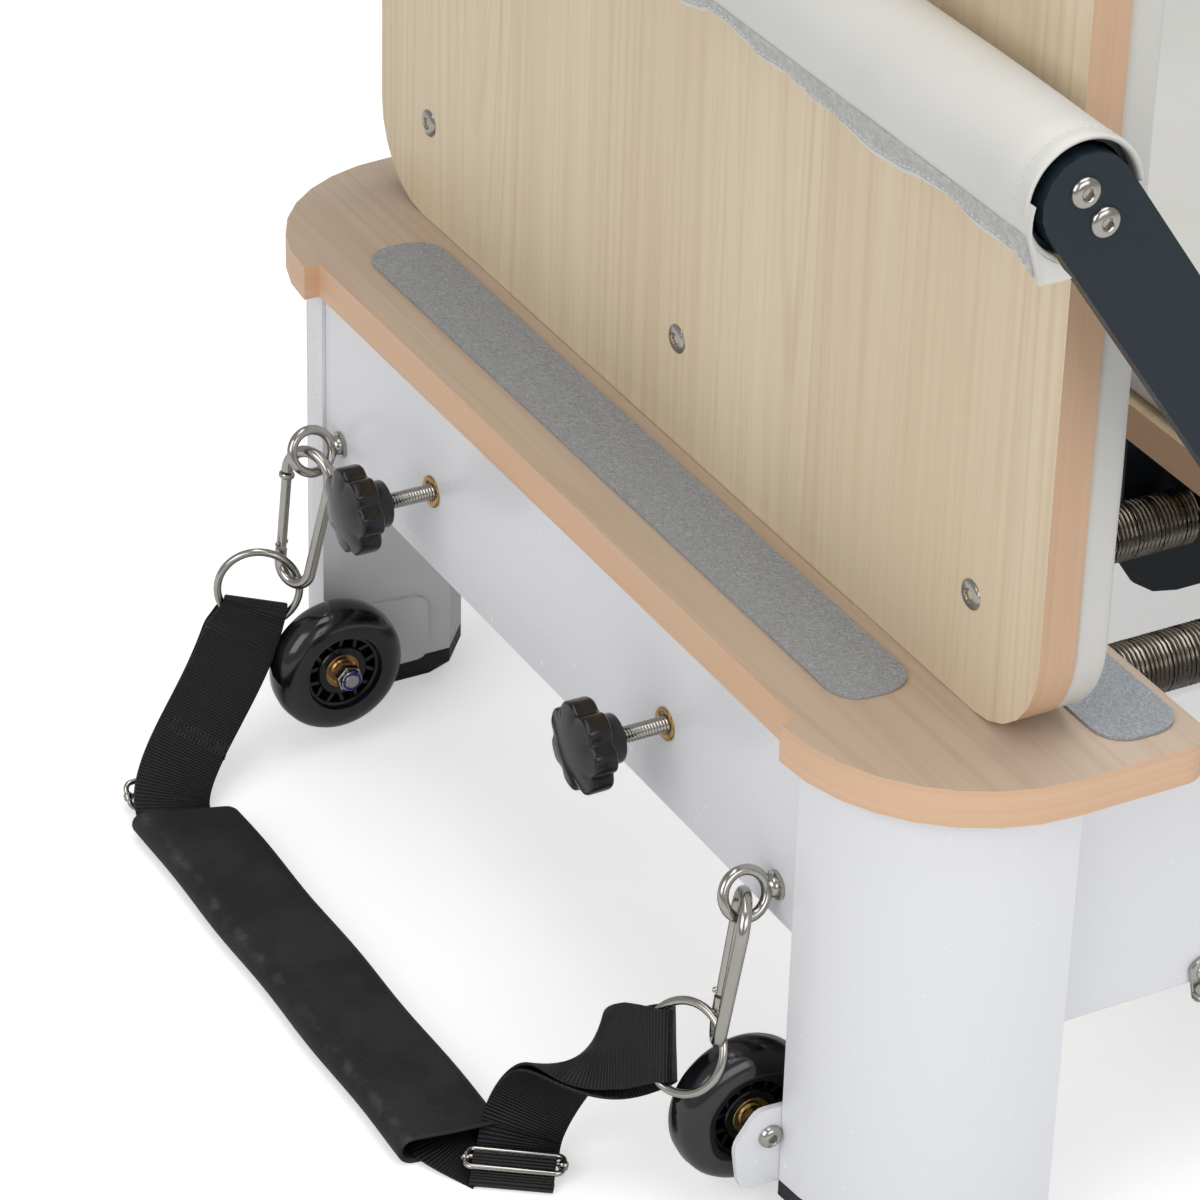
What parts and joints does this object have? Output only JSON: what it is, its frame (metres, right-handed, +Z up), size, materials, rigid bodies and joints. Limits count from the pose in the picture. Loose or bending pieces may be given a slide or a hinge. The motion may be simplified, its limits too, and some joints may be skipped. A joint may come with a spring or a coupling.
{
  "type": "folding pilates reformer",
  "caption": "Folding pilates reformer: timber frame with sprung sliding carriage, padded foot bar, lift-out jump board, foot strap, shoulder rests and transport wheels.",
  "frame": {"origin": "on the floor under the middle of the whole object, foot strap included", "axes": "+X towards the head end, +Y to the user's left when they look towards the head end, +Z up"},
  "size_m": [2.501, 0.7226, 0.76],
  "materials": {
    "oak_board": "pale oak-faced board, matt lacquer, with a darker edge band",
    "white_timber": "white painted timber, satin",
    "white_metal": "white powder coat, satin",
    "white_upholstery": "white coated upholstery cloth, fine grain",
    "grey_grip": "grey anti-slip strip, fine grit",
    "black_rubber": "black moulded rubber and foam, matt",
    "black_plastic": "black moulded plastic, semi-gloss",
    "dark_steel": "dark blue-grey powder coat",
    "bright_steel": "nickel-plated wire, bright",
    "zinc_steel": "zinc-plated steel",
    "black_webbing": "woven black webbing"
  },
  "bodies": {
    "foot_frame": {"foot_rail_left": "white_timber", "foot_rail_right": "white_timber", "foot_end_beam": "white_timber", "foot_platform": "oak_board", "grip_strip_front": "grey_grip", "grip_strip_rear": "grey_grip", "foot_leg_left": "white_metal", "foot_leg_right": "white_metal", "foot_glide_left": "black_rubber", "foot_glide_right": "black_rubber", "foot_cross_rail": "white_timber", "wheel_bracket_left": "white_metal", "wheel_bracket_right": "white_metal", "wheel_axle_left": "zinc_steel", "wheel_axle_right": "zinc_steel", "eyebolt_left": "bright_steel", "eyebolt_right": "bright_steel", "spring_anchor_bar": "dark_steel", "spring_1": "bright_steel", "spring_2": "bright_steel", "spring_3": "bright_steel", "spring_4": "bright_steel", "spring_5": "bright_steel", "foot_bar_pivot_left": "dark_steel", "foot_bar_pivot_right": "dark_steel", "foot_hinge_leaf_left": "zinc_steel", "foot_hinge_leaf_right": "zinc_steel"},
    "head_frame": {"head_rail_left": "white_timber", "head_rail_right": "white_timber", "head_end_beam": "white_timber", "head_platform": "oak_board", "head_leg_left": "white_metal", "head_leg_right": "white_metal", "head_cross_rail": "white_timber", "head_hinge_leaf_left": "zinc_steel", "head_hinge_leaf_right": "zinc_steel", "pulley_post_left": "dark_steel", "pulley_post_right": "dark_steel"},
    "carriage": {"carriage_board": "oak_board", "carriage_pad": "white_upholstery", "carriage_frame": "dark_steel", "shoulder_rest_left": "white_upholstery", "shoulder_rest_right": "white_upholstery"},
    "headrest": {"headrest": "white_upholstery"},
    "jump_board": {"jump_board": "oak_board", "jump_board_pad": "white_upholstery"},
    "foot_bar": {"foot_bar_tube": "dark_steel", "foot_bar_pad": "white_upholstery", "foot_bar_arm_left": "dark_steel", "foot_bar_arm_right": "dark_steel"},
    "foot_strap": {"carabiner_left": "bright_steel", "carabiner_right": "bright_steel", "strap_webbing": "black_webbing", "strap_sleeve": "black_rubber"},
    "wheel_left": {"transport_wheel_left": "black_rubber"},
    "wheel_right": {"transport_wheel_right": "black_rubber"},
    "clamp_left": {"clamp_pad_left": "black_plastic"},
    "clamp_right": {"clamp_pad_right": "black_plastic"},
    "knob_left": {"star_knob_left": "black_plastic"},
    "knob_right": {"star_knob_right": "black_plastic"}
  },
  "joints": [
    {"name": "fold_hinge", "type": "hinge", "parent": "foot_frame", "child": "head_frame", "pos_m": [0.0625, 0, 0.1082], "axis": [0, 1, 0], "range_deg": [0, 160]},
    {"name": "carriage_slide", "type": "slide", "parent": "foot_frame", "child": "carriage", "axis": [-1, 0, 0], "range_m": [-0.85, 0], "stiffness_N_per_m": 300, "deforming": ["spring_1", "spring_2", "spring_3", "spring_4", "spring_5"]},
    {"name": "headrest_tilt", "type": "hinge", "parent": "carriage", "child": "headrest", "pos_m": [-0.2035, 0, 0.268], "axis": [0, -1, 0], "range_deg": [0, 35]},
    {"name": "jump_board_lift", "type": "slide", "parent": "foot_frame", "child": "jump_board", "axis": [0, 0, 1], "range_m": [0, 0.12]},
    {"name": "foot_bar_swing", "type": "hinge", "parent": "foot_frame", "child": "foot_bar", "pos_m": [-0.84182, 0, 0.20691], "axis": [0, -1, 0], "range_deg": [0, 50]},
    {"name": "foot_strap_swing", "type": "hinge", "parent": "foot_frame", "child": "foot_strap", "pos_m": [-1.1295, 0, 0.166], "axis": [0, 1, 0], "range_deg": [0, 60]},
    {"name": "wheel_left_spin", "type": "hinge", "parent": "foot_frame", "child": "wheel_left", "pos_m": [-1.121, 0.207, 0.045], "axis": [0, 1, 0], "continuous": true},
    {"name": "wheel_right_spin", "type": "hinge", "parent": "foot_frame", "child": "wheel_right", "pos_m": [-1.121, -0.207, 0.045], "axis": [0, 1, 0], "continuous": true},
    {"name": "clamp_left_slide", "type": "slide", "parent": "foot_frame", "child": "clamp_left", "axis": [-1, 0, 0], "range_m": [0, 0.0038]},
    {"name": "clamp_right_slide", "type": "slide", "parent": "foot_frame", "child": "clamp_right", "axis": [-1, 0, 0], "range_m": [0, 0.0038]},
    {"name": "knob_left_turn", "type": "hinge", "parent": "clamp_left", "child": "knob_left", "pos_m": [-1.1385, 0.115, 0.1907], "axis": [-1, 0, 0], "range_deg": [0, 1080]},
    {"name": "knob_right_turn", "type": "hinge", "parent": "clamp_right", "child": "knob_right", "pos_m": [-1.1385, -0.115, 0.1907], "axis": [-1, 0, 0], "range_deg": [0, 1080]}
  ],
  "couplings": [
    {"joint": "clamp_left_slide", "follows": "knob_left_turn", "m_per_rad": 0.00019894},
    {"joint": "clamp_right_slide", "follows": "knob_right_turn", "m_per_rad": 0.00019894}
  ]
}
